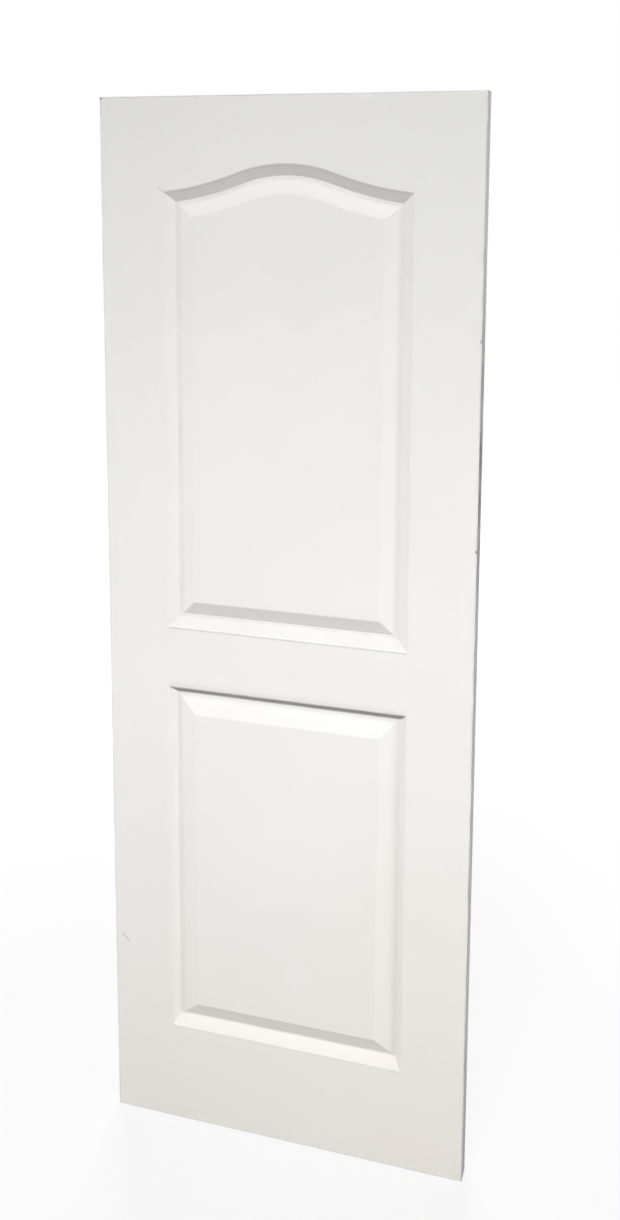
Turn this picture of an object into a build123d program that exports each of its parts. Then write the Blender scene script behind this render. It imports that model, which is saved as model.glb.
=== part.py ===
"""Bathroom door leaf: two moulded skins glued over a timber frame, in millimetres.

Every piece is drawn in the leaf's own frame: X runs across the leaf from the hinge edge, -Y is
out of the front face, Z is up. The origin is the middle of the hinge edge.
"""

import os
from math import atan2, cos, degrees, radians, sin, sqrt, tan

from build123d import *

# The leaf
LEAF_W = 711.0
LEAF_H = 2032.0
LEAF_T = 35.0
SKIN_T = 3.2
EDGE_R = 1.2

# Flat face left round the two panels
STILE_FACE = 122.0
BOTTOM_FACE = 203.0
LOWER_PANEL_H = 715.0
MID_FACE = 120.0
TOP_FACE = 120.0

# The arch of the upper panel: a crown between two shoulder curves that bend the other way
CROWN_R = 259.0
SHOULDER_R = 586.0
CROWN_TURN = 20.5

# Section of the moulding round each panel: a slope in, a narrow floor, a bevel up to the field
UPPER_SLOPE_W = 20.5
LOWER_SLOPE_W = 12.0
FLOOR_W = 6.5
FIELD_INSET = 53.0
GROOVE_D = 12.0
FIELD_D = 3.0
ARRIS_R = 5.0
GROOVE_R = 5.0
FIELD_R = 10.0
EASE_STEPS = 2
FLAT = 1e-6

# The frame between the skins
STILE_W = 45.0
TOP_RAIL_H = 60.0
MID_RAIL_H = 90.0
BOTTOM_RAIL_H = 90.0
LOCK_BLOCK_W = 72.0
LOCK_BLOCK_H = 400.0

# What follows from the sizes above
FRAME_T = LEAF_T - 2 * SKIN_T
MID_X = LEAF_W / 2
LEAF_LOW = -LEAF_H / 2
LEAF_HIGH = LEAF_H / 2
PANEL_HALF = MID_X - STILE_FACE
LOWER_LOW = LEAF_LOW + BOTTOM_FACE
LOWER_HIGH = LOWER_LOW + LOWER_PANEL_H
UPPER_LOW = LOWER_HIGH + MID_FACE
APEX = LEAF_HIGH - TOP_FACE
MID_RAIL_Z = (LOWER_HIGH + UPPER_LOW) / 2
RAIL_L = LEAF_W - 2 * STILE_W
MID_RAIL_L = RAIL_L - LOCK_BLOCK_W


def square_outline(inset):
    """Outline of the lower panel, moved inwards by inset."""
    with BuildSketch() as outline:
        with Locations((MID_X, (LOWER_LOW + LOWER_HIGH) / 2)):
            Rectangle(2 * (PANEL_HALF - inset), LOWER_PANEL_H - 2 * inset)
    return outline.sketch


def arched_outline(inset):
    """Outline of the upper panel, moved inwards by inset."""
    turn = radians(CROWN_TURN)
    half = PANEL_HALF - inset
    low = UPPER_LOW + inset
    crown_r = CROWN_R - inset
    crown_y = APEX - CROWN_R
    shoulder_r = SHOULDER_R + inset
    shoulder_x = (CROWN_R + SHOULDER_R) * sin(turn)
    shoulder_y = crown_y + (CROWN_R + SHOULDER_R) * cos(turn)
    turn_x = crown_r * sin(turn)
    turn_y = crown_y + crown_r * cos(turn)
    middle_x = (half + turn_x) / 2
    middle_y = shoulder_y - sqrt(shoulder_r**2 - (shoulder_x - middle_x) ** 2)
    corner_y = shoulder_y - sqrt(shoulder_r**2 - (shoulder_x - half) ** 2)
    with BuildSketch() as outline:
        with BuildLine():
            Polyline(
                (MID_X - half, corner_y),
                (MID_X - half, low),
                (MID_X + half, low),
                (MID_X + half, corner_y),
            )
            for side in (1, -1):
                ThreePointArc(
                    (MID_X + side * half, corner_y),
                    (MID_X + side * middle_x, middle_y),
                    (MID_X + side * turn_x, turn_y),
                )
            ThreePointArc(
                (MID_X + turn_x, turn_y),
                (MID_X, APEX - inset),
                (MID_X - turn_x, turn_y),
            )
        make_face()
    return outline.sketch


def rounded_section(slope_w):
    """Moulding section from the face to the field as inset and depth pairs, corners eased."""
    corners = [
        (0, 0, ARRIS_R),
        (slope_w, GROOVE_D, GROOVE_R),
        (slope_w + FLOOR_W, GROOVE_D, GROOVE_R),
        (FIELD_INSET, FIELD_D, FIELD_R),
    ]
    before = [(-1, 0)] + [corner[:2] for corner in corners[:-1]]
    after = [corner[:2] for corner in corners[1:]] + [(FIELD_INSET + 1, FIELD_D)]
    points = []
    for (last_x, last_y), (x, y, radius), (next_x, next_y) in zip(before, corners, after):
        way_in = atan2(y - last_y, x - last_x)
        way_out = atan2(next_y - y, next_x - x)
        reach = radius * tan(abs(way_out - way_in) / 2)
        side = 1 if way_out > way_in else -1
        start_x = x - reach * cos(way_in)
        start_y = y - reach * sin(way_in)
        for step in range(EASE_STEPS + 1):
            way = way_in + (way_out - way_in) * step / EASE_STEPS
            points.append(
                (
                    start_x + side * radius * (sin(way) - sin(way_in)),
                    start_y - side * radius * (cos(way) - cos(way_in)),
                )
            )
    return points


def leaf_half(setback):
    """Front half of the leaf, from its middle out to the moulded surface moved in by setback."""
    face = LEAF_T / 2 - setback
    with BuildPart() as half:
        with BuildSketch(Plane.XZ):
            with Locations((MID_X, 0)):
                Rectangle(LEAF_W, LEAF_H)
        extrude(amount=face)
        for outline, slope_w in (
            (square_outline, LOWER_SLOPE_W),
            (arched_outline, UPPER_SLOPE_W),
        ):
            section = rounded_section(slope_w)
            for (inset, depth), (next_inset, next_depth) in zip(section, section[1:]):
                drop = next_depth - depth
                if abs(drop) < FLAT:
                    continue
                with BuildSketch(Plane.XZ.offset(face - depth)):
                    add(outline(inset))
                extrude(
                    amount=-drop,
                    taper=degrees(atan2(next_inset - inset, abs(drop))),
                    mode=Mode.SUBTRACT if drop > 0 else Mode.ADD,
                )
    return half.part


def bar(mid_x, mid_z, wide, high):
    """One squared member of the frame, as thick as the space between the skins."""
    with BuildPart() as member:
        with BuildSketch(Plane.XZ):
            with Locations((mid_x, mid_z)):
                Rectangle(wide, high)
        extrude(amount=FRAME_T / 2, both=True)
    return member


def core(low, high):
    """Core slab between two rails, pressed to the inside of both skins."""
    with BuildPart() as slab:
        add(inner_half)
        mirror(about=Plane.XZ)
        with BuildSketch(Plane.XZ):
            with Locations((MID_X, (low + high) / 2)):
                Rectangle(RAIL_L, high - low)
        extrude(amount=FRAME_T / 2, both=True, mode=Mode.INTERSECT)
        add(lock_block.part, mode=Mode.SUBTRACT)
    return slab


def save(piece, label):
    """Name one piece and write its file."""
    piece.part.label = label
    export_step(piece.part, f"parts/{label}.step")


os.makedirs("parts", exist_ok=True)
outer_half = leaf_half(0)
inner_half = leaf_half(SKIN_T)

# Skins: the moulded surface one skin thick, its outer arris eased, and the same at the back
with BuildPart() as front_skin:
    add(outer_half)
    add(inner_half, mode=Mode.SUBTRACT)
    front_face = front_skin.faces().filter_by(Axis.Y).sort_by(Axis.Y)[0]
    fillet(front_face.outer_wire().edges(), EDGE_R)
save(front_skin, "front_skin")

with BuildPart() as back_skin:
    mirror(front_skin.part, about=Plane.XZ)
save(back_skin, "back_skin")

# Frame: two stiles the full height of the leaf, with the rails butted between them
hinge_stile = bar(STILE_W / 2, 0, STILE_W, LEAF_H)
save(hinge_stile, "hinge_stile")

lock_stile = bar(LEAF_W - STILE_W / 2, 0, STILE_W, LEAF_H)
save(lock_stile, "lock_stile")

top_rail = bar(MID_X, LEAF_HIGH - TOP_RAIL_H / 2, RAIL_L, TOP_RAIL_H)
save(top_rail, "top_rail")

bottom_rail = bar(MID_X, LEAF_LOW + BOTTOM_RAIL_H / 2, RAIL_L, BOTTOM_RAIL_H)
save(bottom_rail, "bottom_rail")

# Lock block against the lock stile, and the rail that runs up to it between the two panels
lock_block_x = LEAF_W - STILE_W - LOCK_BLOCK_W / 2
lock_block = bar(lock_block_x, MID_RAIL_Z, LOCK_BLOCK_W, LOCK_BLOCK_H)
save(lock_block, "lock_block")

mid_rail = bar(STILE_W + MID_RAIL_L / 2, MID_RAIL_Z, MID_RAIL_L, MID_RAIL_H)
save(mid_rail, "mid_rail")

# Cores: what fills the leaf below and above the middle rail
lower_core = core(LEAF_LOW + BOTTOM_RAIL_H, MID_RAIL_Z - MID_RAIL_H / 2)
save(lower_core, "lower_core")

upper_core = core(MID_RAIL_Z + MID_RAIL_H / 2, LEAF_HIGH - TOP_RAIL_H)
save(upper_core, "upper_core")
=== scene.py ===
"""Looks of the bathroom door leaf: satin white moulded skins, painted edges and a few old marks.

Metres, in the leaf's own frame: X runs across from the hinge edge, -Y is out of the front, Z is up.
"""

from math import atan2, cos, pi, radians, sin, sqrt, tan

import bmesh
import bpy
from mathutils import Matrix, Vector


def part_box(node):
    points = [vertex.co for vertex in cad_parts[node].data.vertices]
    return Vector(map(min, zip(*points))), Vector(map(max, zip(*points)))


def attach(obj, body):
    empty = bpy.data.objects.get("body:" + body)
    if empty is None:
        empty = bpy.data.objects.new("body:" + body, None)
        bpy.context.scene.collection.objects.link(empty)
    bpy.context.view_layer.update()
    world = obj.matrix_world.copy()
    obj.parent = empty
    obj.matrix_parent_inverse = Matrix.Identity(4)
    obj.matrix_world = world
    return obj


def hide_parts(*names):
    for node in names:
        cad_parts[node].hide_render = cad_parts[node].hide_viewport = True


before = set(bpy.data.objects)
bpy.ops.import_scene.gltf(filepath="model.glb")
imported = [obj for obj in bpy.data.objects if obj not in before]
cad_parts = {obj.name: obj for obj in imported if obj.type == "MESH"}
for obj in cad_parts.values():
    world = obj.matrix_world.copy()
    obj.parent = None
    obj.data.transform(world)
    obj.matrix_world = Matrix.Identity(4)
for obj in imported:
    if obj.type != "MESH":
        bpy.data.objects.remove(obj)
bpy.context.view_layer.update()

# The leaf, from the frame
SKIN_LOW_CORNER, SKIN_HIGH_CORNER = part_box("front_skin")
LEAF_W = SKIN_HIGH_CORNER.x
LEAF_LOW = SKIN_LOW_CORNER.z
LEAF_HIGH = SKIN_HIGH_CORNER.z
LEAF_FRONT = SKIN_LOW_CORNER.y
MID_X = LEAF_W / 2
SKIN_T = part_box("hinge_stile")[0].y - LEAF_FRONT
EDGE_R = 0.0012
EDGE_STEPS = 3

# Outlines of the two panels
STILE_FACE = 0.122
BOTTOM_FACE = 0.203
LOWER_PANEL_H = 0.715
MID_FACE = 0.120
TOP_FACE = 0.120
PANEL_HALF = MID_X - STILE_FACE
LOWER_LOW = LEAF_LOW + BOTTOM_FACE
LOWER_HIGH = LOWER_LOW + LOWER_PANEL_H
UPPER_LOW = LOWER_HIGH + MID_FACE
APEX = LEAF_HIGH - TOP_FACE

# The arch of the upper panel: a crown between two shoulder curves that bend the other way
CROWN_R = 0.259
SHOULDER_R = 0.586
CROWN_TURN = radians(20.5)
ARCH_CUTS = 63

# Section of the moulding round each panel
UPPER_SLOPE_W = 0.0205
LOWER_SLOPE_W = 0.012
FLOOR_W = 0.0065
FIELD_INSET = 0.053
GROOVE_D = 0.012
FIELD_D = 0.003
ARRIS_R = 0.005
GROOVE_R = 0.005
FIELD_R = 0.010
EASE_STEPS = 6

# The lower panel's bottom slope is drawn out wider than its sides and top
FOOT_SLOPE_W = 0.022
FOOT_FLOOR_W = 0.0035

# Least slope and turn that make a mitre, widest turn shaded smooth, and pull of the large faces
LEAST_SLOPE = 0.02
MITRE_TURN = radians(30)
SMOOTH_TURN = radians(14)
FACE_PULL = 100

# Smallest difference between two places that counts
TINY = 1e-5

# Marks of use on the front face: two fine lines, nicks in the lock arris and a chipped corner
TICK = ((0.112, LEAF_FRONT, 0.856), (0.124, LEAF_FRONT, 0.843))
TICK_W = 0.003
TICK_WEAR = 0.4
SCRATCH = ((0.0121, LEAF_FRONT, -0.632), (0.0317, LEAF_FRONT, -0.650))
SCRATCH_W = 0.004
SCRATCH_WEAR = 0.6
NICK_HEIGHTS = (0.594, 0.222)
NICK_R = 0.0045
CHIP_R = 0.008

# Heights between which a change of the paint, painted light or painted shade sets in, from none to
# full
YELLOWING = (-0.2, -1.05)
WARMING = (-0.25, -0.6)
SLOPE_DARKENING_HEIGHTS = (-1.6, 0.0)
EDGE_TOP_LIGHT = (0.35, 0.85)
EDGE_FOOT_SHADE = (-0.65, -0.95)
DARK_BAND_FROM_ABOVE = (0.8, 0.32)
DARK_BAND_FROM_BELOW = (0.1, 0.25)

# How far the face and the groove floors stand from the middle of the leaf's thickness
FACE_OUT = -LEAF_FRONT
GROOVE_OUT = FACE_OUT - GROOVE_D

# The camera: axes, place and sensor, then focal length and middle in rows of the photograph
CAMERA_RIGHT = (0.956859, 0.290524, 0.004136)
CAMERA_UP = (-0.047266, 0.141597, 0.988795)
CAMERA_BACK = (0.286683, -0.946333, 0.14922)
CAMERA_PLACE = (1.04929, LEAF_FRONT - 2.13196, LEAF_LOW + 1.87241)
SENSOR_W = 36.0
PHOTO_ROWS = 1220
FOCAL_ROWS = 1257.89
CENTRE_ROW = 376.19

# The studio: light from all round, and the floor's size and whiteness by the leaf and away from it
STUDIO_WHITE = (1, 1, 1, 1)
ROUND_LIGHT = 0.05
FLOOR_SIZE = 40
FLOOR_NEAR = 0.8
FLOOR_FAR = 3.0
NEAR_GLOW = 0.86
FAR_GLOW = 1.0
FLOOR_GREY = (0.08, 0.08, 0.08, 1)

# Colours of the skins: the white and its ageing, then dust, painted shade on the slopes and in the
# creases, and wear
DULL_WHITE = (0.862, 0.855, 0.828)
CLEAN_WHITE = (0.88, 0.872, 0.845)
YELLOWED_WHITE = (0.86, 0.828, 0.782)
WARM_WHITE = (0.865, 0.825, 0.75)
GROOVE_DUST_AND_SHADE = (0.60, 0.585, 0.55)
LEDGE_GREY = (0.62, 0.60, 0.57)
OVERHANG_PAINTED_SHADE = (0.60, 0.58, 0.55)
DEEP_PAINTED_SHADE = (0.30, 0.27, 0.25)
CREASE_SHADE = (0.42, 0.40, 0.37)
RUBBED_PAINT = (0.52, 0.51, 0.51)
SCORED_PAINT = (0.36, 0.34, 0.33)

# Colours of the edges: thin and full paint, painted light at the top, painted lavender shade at the
# foot, and a dark colour for patches of the lock edge
THIN_PAINT = (0.64, 0.63, 0.63)
FULL_PAINT = (0.74, 0.725, 0.72)
TOP_PAINTED_LIGHT = (0.86, 0.855, 0.85)
FOOT_PAINTED_SHADE = (0.54, 0.52, 0.56)
LOCK_EDGE_DARK = (0.18, 0.168, 0.165)

# Colours of what the skins cover: sawn softwood and core paper
EARLY_WOOD = (0.66, 0.50, 0.32)
LATE_WOOD = (0.52, 0.36, 0.21)
WOOD_FIBRE = (0.70, 0.55, 0.37)
PAPER_CELL = (0.60, 0.46, 0.31)
PAPER_RIDGE = (0.50, 0.38, 0.25)
PAPER_FIBRE = (0.66, 0.53, 0.38)

# How the timber's pattern is stretched along upright and level pieces, and its growth rings
UPRIGHT_GRAIN = (160, 160, 5)
LEVEL_GRAIN = (5, 160, 160)
RINGS = 22.0


def select_only(piece, kind, wanted):
    """Select just the vertices, edges or faces that pass a test, in edit mode."""
    bpy.ops.mesh.select_mode(type=kind)
    bpy.ops.mesh.select_all(action="DESELECT")
    shape = bmesh.from_edit_mesh(piece.data)
    for item in {"VERT": shape.verts, "EDGE": shape.edges, "FACE": shape.faces}[kind]:
        if wanted(item):
            item.select_set(True)
    bmesh.update_edit_mesh(piece.data)


def apply_modifier(piece, kind, **settings):
    """Add a modifier with these settings and apply it."""
    modifier = piece.modifiers.new(kind.lower(), kind)
    for key, value in settings.items():
        setattr(modifier, key, value)
    bpy.ops.object.modifier_apply(modifier=modifier.name)


def arch_height(across, rim):
    """Height of the arch at a distance across from the middle, on the outline grown by rim."""
    crown_r = CROWN_R + rim
    crown_z = APEX - CROWN_R
    if abs(across) < crown_r * sin(CROWN_TURN):
        return crown_z + sqrt(crown_r**2 - across**2)
    centres = CROWN_R + SHOULDER_R
    reach = centres * sin(CROWN_TURN) - abs(across)
    return crown_z + centres * cos(CROWN_TURN) - sqrt((SHOULDER_R - rim) ** 2 - reach**2)


def moulding_section(slope_w):
    """Moulding section from the face to the field as inset and depth pairs, corners eased."""
    corners = [
        (0, 0, ARRIS_R),
        (slope_w, GROOVE_D, GROOVE_R),
        (slope_w + FLOOR_W, GROOVE_D, GROOVE_R),
        (FIELD_INSET, FIELD_D, FIELD_R),
    ]
    before = [(-1, 0)] + [corner[:2] for corner in corners[:-1]]
    after = [corner[:2] for corner in corners[1:]] + [(1, FIELD_D)]
    points = []
    for (last_x, last_y), (x, y, radius), (next_x, next_y) in zip(before, corners, after):
        way_in = atan2(y - last_y, x - last_x)
        way_out = atan2(next_y - y, next_x - x)
        reach = radius * tan(abs(way_out - way_in) / 2)
        side = 1 if way_out > way_in else -1
        start_x = x - reach * cos(way_in)
        start_y = y - reach * sin(way_in)
        for step in range(EASE_STEPS + 1):
            way = way_in + (way_out - way_in) * step / EASE_STEPS
            points.append(
                (
                    start_x + side * radius * (sin(way) - sin(way_in)),
                    start_y - side * radius * (cos(way) - cos(way_in)),
                )
            )
    return points


def cut_sheet(half, rows):
    """Flat sheet the size of the leaf's face, cut at two columns and at each row."""
    bpy.ops.object.select_all(action="DESELECT")
    bpy.ops.mesh.primitive_plane_add(
        size=1, location=(MID_X, LEAF_FRONT, 0), rotation=(pi / 2, 0, 0)
    )
    sheet = bpy.context.object
    sheet.scale = (LEAF_W, LEAF_HIGH - LEAF_LOW, 1)
    bpy.ops.object.transform_apply(location=True, rotation=True, scale=True)
    bpy.ops.object.mode_set(mode="EDIT")
    for column in (MID_X - half, MID_X + half):
        bpy.ops.mesh.select_all(action="SELECT")
        bpy.ops.mesh.bisect(plane_co=(column, 0, 0), plane_no=(1, 0, 0))
    for row in rows:
        bpy.ops.mesh.select_all(action="SELECT")
        bpy.ops.mesh.bisect(plane_co=(0, 0, row), plane_no=(0, 0, 1))
    return sheet


def press_panel(sheet, half, low, high, rim, section):
    """Inset the face of one panel step by step down the moulding and up to the field."""
    select_only(
        sheet,
        "FACE",
        lambda face: all(
            abs(point.co.x - MID_X) < half + TINY and low - TINY < point.co.z < high + TINY
            for point in face.verts
        ),
    )
    last_inset, last_depth = -rim, 0
    for inset, depth in section:
        if inset - last_inset > TINY:
            bpy.ops.mesh.inset(thickness=inset - last_inset, depth=last_depth - depth)
        last_inset, last_depth = inset, depth


def draw_out_foot(sheet):
    """Move the lines along the bottom of the lower panel up, so that its slope is wider there."""
    lines = (0, LOWER_SLOPE_W, LOWER_SLOPE_W + FLOOR_W, FIELD_INSET)
    moved = (0, FOOT_SLOPE_W, FOOT_SLOPE_W + FOOT_FLOOR_W, FIELD_INSET)
    shape = bmesh.from_edit_mesh(sheet.data)
    for point in shape.verts:
        rise = point.co.z - LOWER_LOW
        for line, next_line, place, next_place in zip(lines, lines[1:], moved, moved[1:]):
            if line < rise <= next_line and abs(point.co.x - MID_X) < PANEL_HALF:
                share = (rise - line) / (next_line - line)
                point.co.z = LOWER_LOW + place + share * (next_place - place)
    bmesh.update_edit_mesh(sheet.data)


def lift_arch(sheet, half, shoulder, rim):
    """Divide the level top lines of the upper panel, then lift their points on to the arch."""
    lowest = shoulder - 2 * FIELD_INSET

    def on_top_line(point):
        return lowest < point.co.z < shoulder + TINY and abs(point.co.x - MID_X) < half + TINY

    def is_top_line(edge):
        first, second = edge.verts
        level = abs(first.co.z - second.co.z) < TINY
        return level and on_top_line(first) and on_top_line(second)

    select_only(sheet, "EDGE", is_top_line)
    bpy.ops.mesh.subdivide(number_cuts=ARCH_CUTS)
    shape = bmesh.from_edit_mesh(sheet.data)
    for point in shape.verts:
        if on_top_line(point):
            inset = shoulder - rim - point.co.z
            point.co.z = arch_height(point.co.x - MID_X, -inset)
    bmesh.update_edit_mesh(sheet.data)


def moulded_face():
    """Front surface of the leaf with both raised panels pressed into it."""
    lower_section = moulding_section(LOWER_SLOPE_W)
    upper_section = moulding_section(UPPER_SLOPE_W)
    rim = -min(lower_section[0][0], upper_section[0][0])
    half = PANEL_HALF + rim
    shoulder = arch_height(half, rim)
    rows = (LOWER_LOW - rim, LOWER_HIGH + rim, UPPER_LOW - rim, shoulder)
    sheet = cut_sheet(half, rows)
    press_panel(sheet, half, rows[0], rows[1], rim, lower_section)
    draw_out_foot(sheet)
    press_panel(sheet, half, rows[2], rows[3], rim, upper_section)
    lift_arch(sheet, half, shoulder, rim)
    bpy.ops.object.mode_set(mode="OBJECT")
    return sheet


def on_perimeter(edge):
    """Whether an edge lies on the outer arris of a face."""
    first, second = (end.co for end in edge.verts)
    if max(abs(abs(first.y) + LEAF_FRONT), abs(abs(second.y) + LEAF_FRONT)) > TINY:
        return False
    return any(
        abs(a - side) < TINY and abs(b - side) < TINY
        for a, b, sides in (
            (first.x, second.x, (0, LEAF_W)),
            (first.z, second.z, (LEAF_LOW, LEAF_HIGH)),
        )
        for side in sides
    )


def is_mitre(edge):
    """Whether two slopes that run different ways meet at an edge."""
    slopes = [Vector((face.normal.x, face.normal.z)) for face in edge.link_faces]
    if len(slopes) < 2 or min(slope.length for slope in slopes) < LEAST_SLOPE:
        return False
    return slopes[0].angle(slopes[1]) > MITRE_TURN


def finish_skin(skin, name, node, inwards):
    """Give a moulded face its thickness, eased outer arris and smooth shading."""
    bpy.ops.object.select_all(action="DESELECT")
    skin.select_set(True)
    bpy.context.view_layer.objects.active = skin
    bpy.ops.object.mode_set(mode="EDIT")
    bpy.ops.mesh.select_all(action="SELECT")
    bpy.ops.mesh.extrude_region_move(TRANSFORM_OT_translate={"value": (0, inwards * SKIN_T, 0)})
    bpy.ops.mesh.select_all(action="SELECT")
    bpy.ops.mesh.normals_make_consistent(inside=False)
    bpy.ops.object.mode_set(mode="OBJECT")
    bpy.ops.object.shade_smooth_by_angle(angle=SMOOTH_TURN)
    bpy.ops.object.mode_set(mode="EDIT")
    select_only(skin, "EDGE", is_mitre)
    bpy.ops.mesh.mark_sharp()
    select_only(skin, "EDGE", on_perimeter)
    bpy.ops.mesh.bevel(offset=EDGE_R, segments=EDGE_STEPS, affect="EDGES")
    bpy.ops.object.mode_set(mode="OBJECT")
    apply_modifier(skin, "WEIGHTED_NORMAL", keep_sharp=True, weight=FACE_PULL)
    skin.name = name
    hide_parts(node)
    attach(skin, "root")
    return skin


def add_skins():
    """Both moulded skins: the front, and the back as a copy turned round."""
    front = moulded_face()
    bpy.ops.object.select_all(action="DESELECT")
    front.select_set(True)
    bpy.context.view_layer.objects.active = front
    bpy.ops.object.duplicate()
    back = bpy.context.object
    bpy.ops.object.mode_set(mode="EDIT")
    bpy.ops.mesh.select_all(action="SELECT")
    bpy.ops.transform.rotate(value=pi, orient_axis="Z", center_override=(MID_X, 0, 0))
    bpy.ops.object.mode_set(mode="OBJECT")
    return [
        finish_skin(front, "front_moulded_skin", "front_skin", 1),
        finish_skin(back, "back_moulded_skin", "back_skin", -1),
    ]


def add_camera():
    """Camera at the photograph's place, in front of the lock side at eye height."""
    data = bpy.data.cameras.new("photo_camera")
    camera = bpy.data.objects.new("photo_camera", data)
    bpy.context.scene.collection.objects.link(camera)
    turn = Matrix((CAMERA_RIGHT, CAMERA_UP, CAMERA_BACK)).transposed().to_4x4()
    camera.matrix_world = Matrix.Translation(CAMERA_PLACE) @ turn
    data.sensor_fit = "AUTO"
    data.sensor_width = SENSOR_W
    data.lens = SENSOR_W * FOCAL_ROWS / PHOTO_ROWS
    data.shift_y = (CENTRE_ROW - PHOTO_ROWS / 2) / PHOTO_ROWS
    bpy.context.scene.camera = camera


def add_lamp(name, aim, way, distance, size, watts, spread):
    """Soft square lamp, a distance away from a point on the leaf and turned to it."""
    data = bpy.data.lights.new(name, "AREA")
    data.energy = watts
    data.shape = "SQUARE"
    data.size = size
    data.spread = radians(spread)
    lamp = bpy.data.objects.new(name, data)
    bpy.context.scene.collection.objects.link(lamp)
    lamp.location = Vector(aim) + Vector(way).normalized() * distance
    lamp.rotation_euler = Vector(way).to_track_quat("Z", "Y").to_euler()


def add_lamps():
    """Key from above the front, a low fill from each side, and one lamp for the back."""
    add_lamp(
        "key",
        aim=(0.49, LEAF_FRONT, -0.44),
        way=(0, -0.635, 0.556),
        distance=6,
        size=2.5,
        watts=22.7,
        spread=41,
    )
    for name, side, watts in (("left_fill", -1, 39), ("right_fill", 1, 50)):
        add_lamp(
            name,
            aim=(MID_X, LEAF_FRONT, -0.1),
            way=(side * 0.90, -0.42, 0.05),
            distance=5,
            size=2.5,
            watts=watts,
            spread=120,
        )
    add_lamp(
        "back_fill",
        aim=(MID_X, -LEAF_FRONT, 0),
        way=(-0.25, 0.75, 0.6),
        distance=6,
        size=3.0,
        watts=430,
        spread=180,
    )


def add_node(tree, kind, inputs=None, **settings):
    """New node; an input is a value or another node's output."""
    made = tree.nodes.new(kind)
    for key, value in settings.items():
        setattr(made, key, value)
    for key, value in (inputs or {}).items():
        if isinstance(value, bpy.types.NodeSocket):
            tree.links.new(value, made.inputs[key])
        else:
            made.inputs[key].default_value = value
    return made


def figure(tree, operation, first, second=0.0):
    """Output of one sum on two values."""
    return add_node(
        tree, "ShaderNodeMath", {0: first, 1: second}, operation=operation
    ).outputs[0]


def product(tree, *values):
    """Output of several values multiplied together."""
    whole = values[0]
    for value in values[1:]:
        whole = figure(tree, "MULTIPLY", whole, value)
    return whole


def apart(tree, value, level):
    """How far a value lies from a level, either way."""
    return figure(tree, "ABSOLUTE", figure(tree, "SUBTRACT", value, level))


def distance_from(tree, place, point):
    """Distance of the surface from a point."""
    return add_node(
        tree, "ShaderNodeVectorMath", {0: place, 1: point}, operation="DISTANCE"
    ).outputs["Value"]


def ramp(tree, value, low, high, first, last):
    """First where the value is low, rising evenly to last where it is high."""
    return add_node(
        tree,
        "ShaderNodeMapRange",
        {"Value": value, "From Min": low, "From Max": high, "To Min": first, "To Max": last},
    ).outputs[0]


def fade(tree, value, gone, full):
    """0 where the value is at gone, rising smoothly to 1 at full."""
    return add_node(
        tree,
        "ShaderNodeMapRange",
        {"Value": value, "From Min": gone, "From Max": full},
        interpolation_type="SMOOTHSTEP",
    ).outputs[0]


def blend(tree, share, first, second):
    """Colour that goes from the first to the second as share goes from 0 to 1."""
    made = add_node(tree, "ShaderNodeMix", data_type="RGBA")
    # A Mix node takes two colours at its inputs 6 and 7, and gives the blend at its output 2
    for place, value in ((0, share), (6, first), (7, second)):
        if isinstance(value, bpy.types.NodeSocket):
            tree.links.new(value, made.inputs[place])
        else:
            made.inputs[place].default_value = (*value, 1)
    return made.outputs[2]


def mottle(tree, place, scale, detail=3.0, stretch=(1, 1, 1)):
    """Soft uneven pattern around a half, so many patches to the metre."""
    laid = add_node(tree, "ShaderNodeMapping", {"Vector": place, "Scale": stretch})
    return add_node(
        tree,
        "ShaderNodeTexNoise",
        {"Vector": laid.outputs[0], "Scale": scale, "Detail": detail},
    ).outputs["Fac"]


def roughen(tree, height, depth, below=None):
    """Bump of the surface by a pattern, so many metres deep, over another bump."""
    inputs = {"Height": height, "Distance": depth, "Strength": 1.0}
    if below is not None:
        inputs["Normal"] = below
    return add_node(tree, "ShaderNodeBump", inputs).outputs[0]


def seen_directly(tree):
    """1 for a ray that shows the surface in the picture, in gloss or in glass, else 0."""
    path = add_node(tree, "ShaderNodeLightPath").outputs
    gloss = figure(tree, "MAXIMUM", path["Is Camera Ray"], path["Is Glossy Ray"])
    return figure(tree, "MAXIMUM", gloss, path["Is Transmission Ray"])


def add_surroundings():
    """Even low light from all round, that looks white."""
    world = bpy.data.worlds.new("studio")
    bpy.context.scene.world = world
    world.use_nodes = True
    tree = world.node_tree
    fill = tree.nodes["Background"]
    fill.inputs["Color"].default_value = STUDIO_WHITE
    fill.inputs["Strength"].default_value = ROUND_LIGHT
    white = add_node(tree, "ShaderNodeBackground", {"Color": STUDIO_WHITE, "Strength": 1.0})
    both = add_node(
        tree,
        "ShaderNodeMixShader",
        {0: seen_directly(tree), 1: fill.outputs[0], 2: white.outputs[0]},
    )
    tree.links.new(both.outputs[0], tree.nodes["World Output"].inputs["Surface"])


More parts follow.
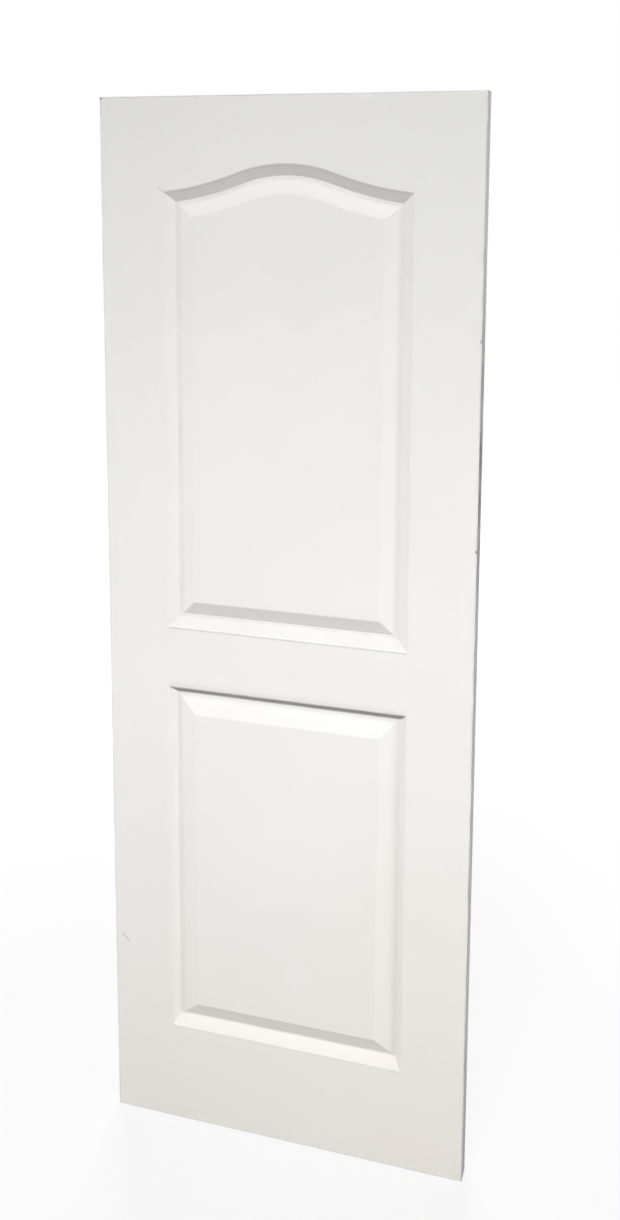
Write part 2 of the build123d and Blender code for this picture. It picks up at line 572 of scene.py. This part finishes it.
def add_floor():
    """Pale floor under the leaf that turns white away from it."""
    middle = (MID_X, 0, LEAF_LOW)
    bpy.ops.object.select_all(action="DESELECT")
    bpy.ops.mesh.primitive_plane_add(size=FLOOR_SIZE, location=middle)
    floor = bpy.context.object
    floor.name = "studio_floor"
    bpy.ops.object.transform_apply(location=True)
    paint = bpy.data.materials.new("studio_floor")
    paint.use_nodes = True
    tree = paint.node_tree
    tree.nodes.remove(tree.nodes["Principled BSDF"])
    place = add_node(tree, "ShaderNodeTexCoord").outputs["Object"]
    away = distance_from(tree, place, middle)
    level = ramp(tree, away, FLOOR_NEAR, FLOOR_FAR, NEAR_GLOW, FAR_GLOW)
    glow = add_node(
        tree,
        "ShaderNodeEmission",
        {"Color": STUDIO_WHITE, "Strength": product(tree, level, seen_directly(tree))},
    )
    matt = add_node(tree, "ShaderNodeBsdfDiffuse", {"Color": FLOOR_GREY})
    both = add_node(tree, "ShaderNodeAddShader", {0: matt.outputs[0], 1: glow.outputs[0]})
    tree.links.new(both.outputs[0], tree.nodes["Material Output"].inputs["Surface"])
    floor.data.materials.append(paint)


def start_paint(name):
    """New material with its shader, and a point's own place on the leaf, whole and split."""
    paint = bpy.data.materials.new(name)
    paint.use_nodes = True
    tree = paint.node_tree
    place = add_node(tree, "ShaderNodeTexCoord").outputs["Object"]
    split = add_node(tree, "ShaderNodeSeparateXYZ", {0: place}).outputs
    return paint, tree, tree.nodes["Principled BSDF"], place, split


def line_mark(tree, place, start, end, wide):
    """1 along a straight line between two points of a face, fading out over its width."""
    middle = (Vector(start) + Vector(end)) / 2
    run = Vector(end) - Vector(start)
    along = run.normalized()
    across = Vector((along.z, 0, -along.x))
    offset = add_node(
        tree, "ShaderNodeVectorMath", {0: place, 1: middle}, operation="SUBTRACT"
    ).outputs[0]
    shares = []
    for way, reach, solid in ((along, run.length / 2, 0.6), (across, wide / 2, 0.2)):
        away = add_node(
            tree, "ShaderNodeVectorMath", {0: offset, 1: way}, operation="DOT_PRODUCT"
        ).outputs["Value"]
        shares.append(fade(tree, figure(tree, "ABSOLUTE", away), reach, reach * solid))
    return product(tree, *shares)


def spot_mark(tree, place, middle, radius):
    """1 in the middle of a round spot, fading out at its rim."""
    return fade(tree, distance_from(tree, place, middle), radius, radius * 0.4)


def front_marks(tree, place, y):
    """Tick, scratch, chipped corner and nicks of the front face, as one mask."""
    marks = [
        product(tree, line_mark(tree, place, *TICK, TICK_W), TICK_WEAR),
        product(tree, line_mark(tree, place, *SCRATCH, SCRATCH_W), SCRATCH_WEAR),
        spot_mark(tree, place, (0, LEAF_FRONT, LEAF_HIGH), CHIP_R),
    ]
    for height in NICK_HEIGHTS:
        marks.append(spot_mark(tree, place, (LEAF_W, LEAF_FRONT, height), NICK_R))
    whole = marks[0]
    for mark in marks[1:]:
        whole = figure(tree, "MAXIMUM", whole, mark)
    return product(tree, whole, fade(tree, y, 0, LEAF_FRONT / 2))


def aged_white(tree, place, x, z, patches):
    """White in slow drifts, yellowed low down and warmer towards the foot of the lock side."""
    drift = fade(tree, mottle(tree, place, 2.3), 0.35, 0.65)
    colour = blend(tree, drift, DULL_WHITE, CLEAN_WHITE)
    yellowed = product(tree, fade(tree, z, *YELLOWING), fade(tree, patches, -0.1, 0.6))
    colour = blend(tree, yellowed, colour, YELLOWED_WHITE)
    warmed = product(tree, fade(tree, z, *WARMING), fade(tree, x, 0.35, 0.65), 0.4)
    return blend(tree, warmed, colour, WARM_WHITE)


def dust_and_shade_mouldings(tree, colour, y, z, patches):
    """Dust with painted shade on the groove floors, painted shade on the down-facing slopes and
    under the rim, up-facing slopes a little greyer, thinner towards the foot of the leaf.
    """
    out = figure(tree, "ABSOLUTE", y)
    # Dust with painted shade on the groove floors, where they lie deepest
    low = fade(tree, out, GROOVE_OUT + 0.002, GROOVE_OUT)
    dust_and_shade = product(tree, low, fade(tree, patches, -0.2, 0.8), 0.16)
    colour = blend(tree, dust_and_shade, colour, GROOVE_DUST_AND_SHADE)
    normal = add_node(tree, "ShaderNodeNewGeometry").outputs["Normal"]
    upward = add_node(tree, "ShaderNodeSeparateXYZ", {0: normal}).outputs["Z"]
    sunk = fade(tree, out, FACE_OUT - 0.0003, FACE_OUT - 0.002)
    recess = product(tree, sunk, fade(tree, z, *SLOPE_DARKENING_HEIGHTS))
    # Painted shade on the down-facing slopes, darkest on the steepest, and up-facing slopes painted
    # a little greyer, all fading towards the foot of the leaf
    for level, steep, share, slope_colour in (
        (0.35, 0.45, 0.4, LEDGE_GREY),
        (-0.1, -0.35, 0.42, OVERHANG_PAINTED_SHADE),
        (-0.52, -0.68, 0.6, DEEP_PAINTED_SHADE),
    ):
        slope_darkening = product(tree, fade(tree, upward, level, steep), recess, share)
        colour = blend(tree, slope_darkening, colour, slope_colour)
    # Painted shade on the down-facing faces just under the outer rim
    rim = fade(tree, out, FACE_OUT - 0.003, FACE_OUT - 0.0005)
    under_rim_shade = product(tree, rim, fade(tree, upward, -0.02, -0.2), 0.3)
    return blend(tree, under_rim_shade, colour, CREASE_SHADE)


def shade_creases(tree, colour, x, z):
    """Painted shade in the creases along the bottom of each panel and the top of the lower one."""
    between = fade(tree, apart(tree, x, MID_X), PANEL_HALF + 0.002, PANEL_HALF - 0.004)
    for row, reach, share in (
        (UPPER_LOW - 0.001, 0.0030, 0.45),
        (LOWER_LOW - 0.001, 0.0030, 0.25),
        (LOWER_HIGH, 0.0160, 0.16),
    ):
        # A thin line of painted shade along each crease
        crease = product(tree, fade(tree, apart(tree, z, row), reach, 0), between, share)
        colour = blend(tree, crease, colour, CREASE_SHADE)
    return colour


def wear_arrises(tree, colour, place, x, z):
    """Paint rubbed grey in patches along the outer arrises of both sides and the top."""
    lock_side = figure(tree, "SUBTRACT", LEAF_W, x)
    top_side = figure(tree, "SUBTRACT", LEAF_HIGH, z)
    inwards = figure(tree, "MINIMUM", figure(tree, "MINIMUM", x, lock_side), top_side)
    rubbed = fade(tree, mottle(tree, place, 22.0), 0.25, 0.7)
    worn = product(tree, fade(tree, inwards, 0.0035, 0.0008), rubbed, 0.45)
    return blend(tree, worn, colour, RUBBED_PAINT)


def satin_white():
    """Satin white of the skins: aged, dusty and painted with shade in the mouldings, worn and
    marked.
    """
    paint, tree, shader, place, (x, y, z) = start_paint("satin_white")
    patches = mottle(tree, place, 6.0)
    colour = aged_white(tree, place, x, z, patches)
    colour = dust_and_shade_mouldings(tree, colour, y, z, patches)
    colour = shade_creases(tree, colour, x, z)
    colour = wear_arrises(tree, colour, place, x, z)
    gaps = fade(tree, mottle(tree, place, 160.0), 0.2, 0.55)
    broken = product(tree, front_marks(tree, place, y), gaps)
    colour = blend(tree, broken, colour, SCORED_PAINT)
    tree.links.new(colour, shader.inputs["Base Color"])
    tree.links.new(ramp(tree, patches, 0.3, 0.7, 0.55, 0.65), shader.inputs["Roughness"])
    shader.inputs["Specular IOR Level"].default_value = 0.25
    waves = roughen(tree, mottle(tree, place, 7.0, 1.0), 0.0004)
    stipple = roughen(tree, mottle(tree, place, 620.0, 2.0), 0.00004, waves)
    scored = roughen(tree, figure(tree, "SUBTRACT", 1.0, broken), 0.0004, stipple)
    tree.links.new(scored, shader.inputs["Normal"])
    return paint


def edge_paint(name, grain):
    """Thin old paint on the timber edges, painted light at the top and painted shade at the foot,
    the lock edge darker in patches above its middle.
    """
    paint, tree, shader, place, (x, _, z) = start_paint(name)
    fibres = mottle(tree, place, 1.0, 4.0, grain)
    colour = blend(tree, fade(tree, fibres, 0.3, 0.7), THIN_PAINT, FULL_PAINT)
    # Painted light, lighter towards the top of the edges
    colour = blend(tree, fade(tree, z, *EDGE_TOP_LIGHT), colour, TOP_PAINTED_LIGHT)
    # Painted lavender shade towards the foot of the edges
    colour = blend(tree, fade(tree, z, *EDGE_FOOT_SHADE), colour, FOOT_PAINTED_SHADE)
    # The lock edge painted much darker in patches above its middle
    dark_band = product(tree, fade(tree, z, *DARK_BAND_FROM_ABOVE), fade(tree, z, *DARK_BAND_FROM_BELOW))
    lock_side = fade(tree, x, MID_X, LEAF_W * 0.9)
    patchy = fade(tree, mottle(tree, place, 14.0), 0.2, 0.65)
    darkened_patches = product(tree, dark_band, lock_side, patchy, 0.95)
    colour = blend(tree, darkened_patches, colour, LOCK_EDGE_DARK)
    tree.links.new(colour, shader.inputs["Base Color"])
    shader.inputs["Roughness"].default_value = 0.6
    tree.links.new(roughen(tree, fibres, 0.0003), shader.inputs["Normal"])
    return paint


def sawn_softwood(name, grain):
    """Pale sawn softwood, its grain along the piece."""
    paint, tree, shader, place, _ = start_paint(name)
    rings = mottle(tree, place, 1.0, 2.0, grain)
    bands = figure(tree, "FRACT", product(tree, rings, RINGS))
    colour = blend(tree, fade(tree, bands, 0.2, 1.0), EARLY_WOOD, LATE_WOOD)
    fibres = mottle(tree, place, 9.0, 5.0, grain)
    colour = blend(tree, fade(tree, fibres, 0.35, 0.75), colour, WOOD_FIBRE)
    tree.links.new(colour, shader.inputs["Base Color"])
    shader.inputs["Roughness"].default_value = 0.75
    tree.links.new(roughen(tree, fibres, 0.0004), shader.inputs["Normal"])
    return paint


def core_paper():
    """Brown core paper: fibres and the faint ridges of its cells."""
    paint, tree, shader, place, _ = start_paint("core_paper")
    cells = add_node(tree, "ShaderNodeTexVoronoi", {"Vector": place, "Scale": 40.0})
    ridges = fade(tree, cells.outputs["Distance"], 0.2, 0.7)
    colour = blend(tree, ridges, PAPER_CELL, PAPER_RIDGE)
    fibres = mottle(tree, place, 260.0, 4.0)
    colour = blend(tree, fade(tree, fibres, 0.4, 0.75), colour, PAPER_FIBRE)
    tree.links.new(colour, shader.inputs["Base Color"])
    shader.inputs["Roughness"].default_value = 0.9
    tree.links.new(roughen(tree, ridges, 0.0005), shader.inputs["Normal"])
    return paint


# Finishes of the pieces, by node
white = satin_white()
stile_paint = edge_paint("stile_edge_paint", UPRIGHT_GRAIN)
rail_paint = edge_paint("rail_edge_paint", LEVEL_GRAIN)
paper = core_paper()
FINISHES = {
    "front_skin": white,
    "back_skin": white,
    "hinge_stile": stile_paint,
    "lock_stile": stile_paint,
    "top_rail": rail_paint,
    "bottom_rail": rail_paint,
    "mid_rail": sawn_softwood("mid_rail_softwood", LEVEL_GRAIN),
    "lock_block": sawn_softwood("lock_block_softwood", UPRIGHT_GRAIN),
    "upper_core": paper,
    "lower_core": paper,
}
for skin in add_skins():
    skin.data.materials.append(white)
for name, finish in FINISHES.items():
    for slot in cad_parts[name].material_slots:
        slot.material = finish

# The studio
add_camera()
add_surroundings()
add_floor()
add_lamps()
bpy.context.scene.view_settings.view_transform = "Standard"
